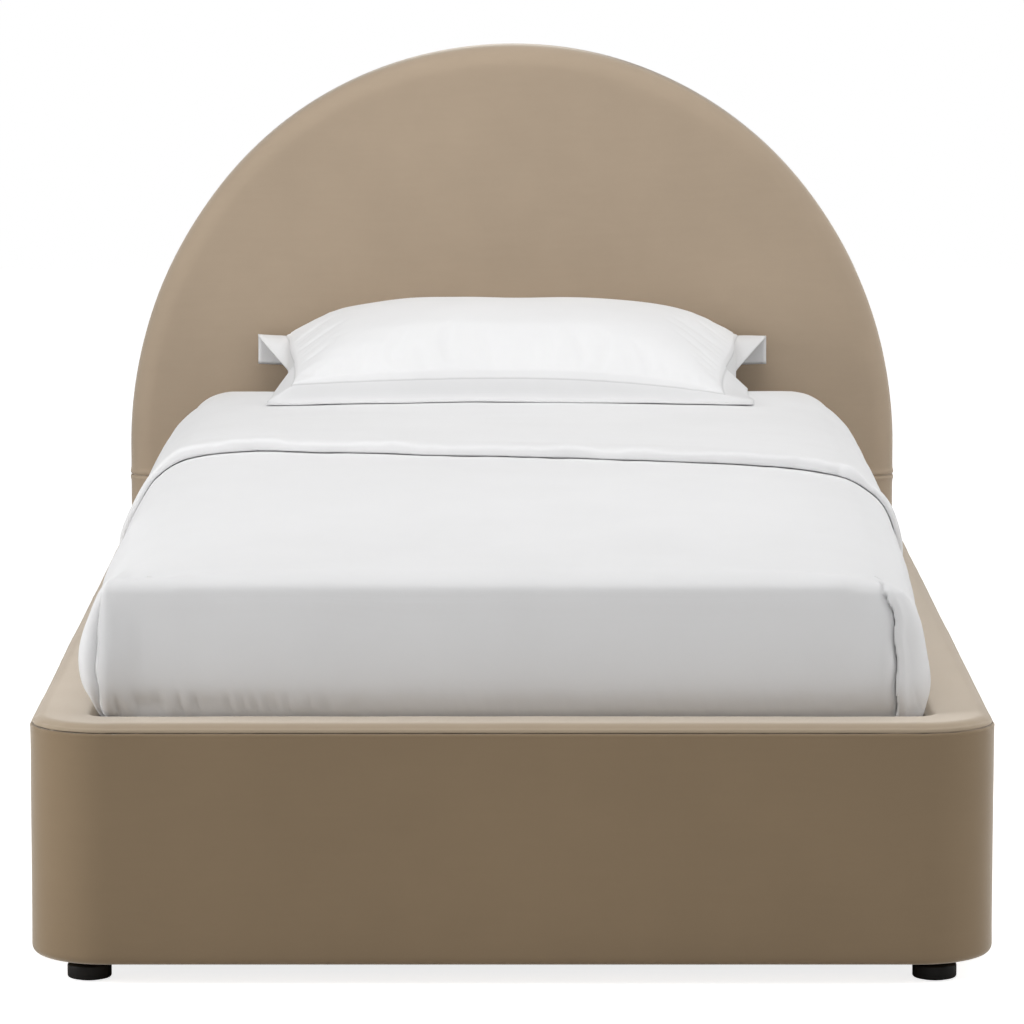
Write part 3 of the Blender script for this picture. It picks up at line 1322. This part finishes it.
# Soft lamps: name, place, target, power, width, height
LAMPS = (
    ("overhead", (0, 0.1, 3.4), (0, 0.1, 0), 48, 2.6, 1.4),
    ("over_front", (0, -2.2, 3.6), (0, -0.4, 0.4), 40, 3.6, 1.6),
    ("front", (0, -8.5, 1.8), (0, 0, 0.5), 70, 5.0, 2.5),
    ("left", (-4.2, -1.6, 1.6), (0, -0.4, 0.4), 112, 3.0, 2.2),
    ("right", (4.2, -1.2, 1.6), (0, -0.2, 0.5), 58, 3.0, 2.2),
    ("right_back", (3.6, 2.2, 2.4), (0, 0.4, 0.5), 40, 2.4, 2.4),
)


def lamp(name, place, target, power, wide, tall):
    """A soft rectangular lamp that points at a target"""
    light = bpy.data.lights.new(name, "AREA")
    light.shape = "RECTANGLE"
    light.energy, light.size, light.size_y = power, wide, tall
    obj = bpy.data.objects.new(name, light)
    obj.location = place
    obj.rotation_euler = (Vector(target) - Vector(place)).to_track_quat("-Z", "Y").to_euler()
    bpy.context.scene.collection.objects.link(obj)


def photo_camera(scene):
    camera = bpy.data.cameras.new("camera")
    camera.lens = CAMERA_LENS
    camera.sensor_width = 36
    camera.clip_end = 60
    seat = bpy.data.objects.new("camera", camera)
    seat.location = CAMERA_PLACE
    seat.rotation_euler = (math.radians(90 - CAMERA_DOWN), 0, 0)
    scene.collection.objects.link(seat)
    scene.camera = seat


def pale_floor(scene):
    """A floor that takes the bed's shadow, and glows white to the camera so that no horizon shows"""
    bm = bmesh.new()
    bmesh.ops.create_grid(bm, x_segments=8, y_segments=8, size=FLOOR_HALF)
    mesh = bpy.data.meshes.new("floor")
    bm.to_mesh(mesh)
    bm.free()
    floor = bpy.data.objects.new("floor", mesh)
    scene.collection.objects.link(floor)
    f = Finish("floor", Specular_IOR_Level=0.1, Emission_Strength=0.8)
    f.set("Base Color", tuple(colours().floor))
    f.set("Roughness", f.spread(f.noise(0.8, 2, 0.5), 0.85, 0.95))
    away = f.node("ShaderNodeVectorMath", {"operation": "LENGTH"}, {0: f.place}, out="Value")
    glow = f.mix(f.range(away, 1.5, 4.5), FLOOR_GLOW, FLOOR_GLOW_AWAY)
    f.set("Emission Color", f.mix(f.node("ShaderNodeLightPath", out="Is Camera Ray"), (0, 0, 0), glow))
    mesh.materials.append(f.material)


def white_world(scene):
    """White to the camera, and a faint warm light for the rest"""
    scene.world = bpy.data.worlds.new("world")
    scene.world.use_nodes = True
    tree = scene.world.node_tree
    tree.nodes.clear()
    path = tree.nodes.new("ShaderNodeLightPath")
    choose = tree.nodes.new("ShaderNodeMixShader")
    tree.links.new(path.outputs["Is Camera Ray"], choose.inputs[0])
    for socket, rgb, strength in ((1, (1, 0.99, 0.98), 0.07), (2, (1, 1, 1), 1.0)):
        glow = tree.nodes.new("ShaderNodeBackground")
        plug(tree, glow.inputs["Color"], rgb)
        plug(tree, glow.inputs["Strength"], strength)
        tree.links.new(glow.outputs[0], choose.inputs[socket])
    out = tree.nodes.new("ShaderNodeOutputWorld")
    tree.links.new(choose.outputs[0], out.inputs[0])


class BED_OT_stage(bpy.types.Operator):
    """Sets the camera, the lamps, the floor and the backdrop"""
    bl_idname = "bed.stage"
    bl_label = "Stage"

    def execute(self, context):
        scene = context.scene
        scene.view_settings.view_transform = "Standard"
        photo_camera(scene)
        pale_floor(scene)
        white_world(scene)
        for values in LAMPS:
            lamp(*values)
        return {"FINISHED"}


OPERATORS = (BED_OT_base_velvet, BED_OT_headboard_velvet, BED_OT_mattress, BED_OT_fitted_sheet, BED_OT_duvet,
             BED_OT_pillow, BED_OT_feet, BED_OT_kept_parts, BED_OT_stage)


class BED_PT_parts(bpy.types.Panel):
    """Lists the steps that dress the bed, with their sizes and colours"""
    bl_idname = "BED_PT_parts"
    bl_label = "Arched platform bed"
    bl_space_type = "VIEW_3D"
    bl_region_type = "UI"
    bl_category = "Bed"

    def draw(self, context):
        column = self.layout.column()
        for operator in OPERATORS:
            column.operator(operator.bl_idname)
        for group, data in ((BedSizes, sizes()), (BedColours, colours())):
            box = self.layout.box()
            for name in group.__annotations__:
                box.prop(data, name)


def register():
    for cls in (BedSizes, BedColours, *OPERATORS, BED_PT_parts):
        bpy.utils.register_class(cls)
    bpy.types.Scene.bed_sizes = PointerProperty(type=BedSizes)
    bpy.types.Scene.bed_colours = PointerProperty(type=BedColours)


def unregister():
    del bpy.types.Scene.bed_colours
    del bpy.types.Scene.bed_sizes
    for cls in (BED_PT_parts, *reversed(OPERATORS), BedColours, BedSizes):
        bpy.utils.unregister_class(cls)


def main():
    register()
    for operator in OPERATORS:
        group, name = operator.bl_idname.split(".")
        getattr(getattr(bpy.ops, group), name)()


if __name__ == "__main__":
    main()
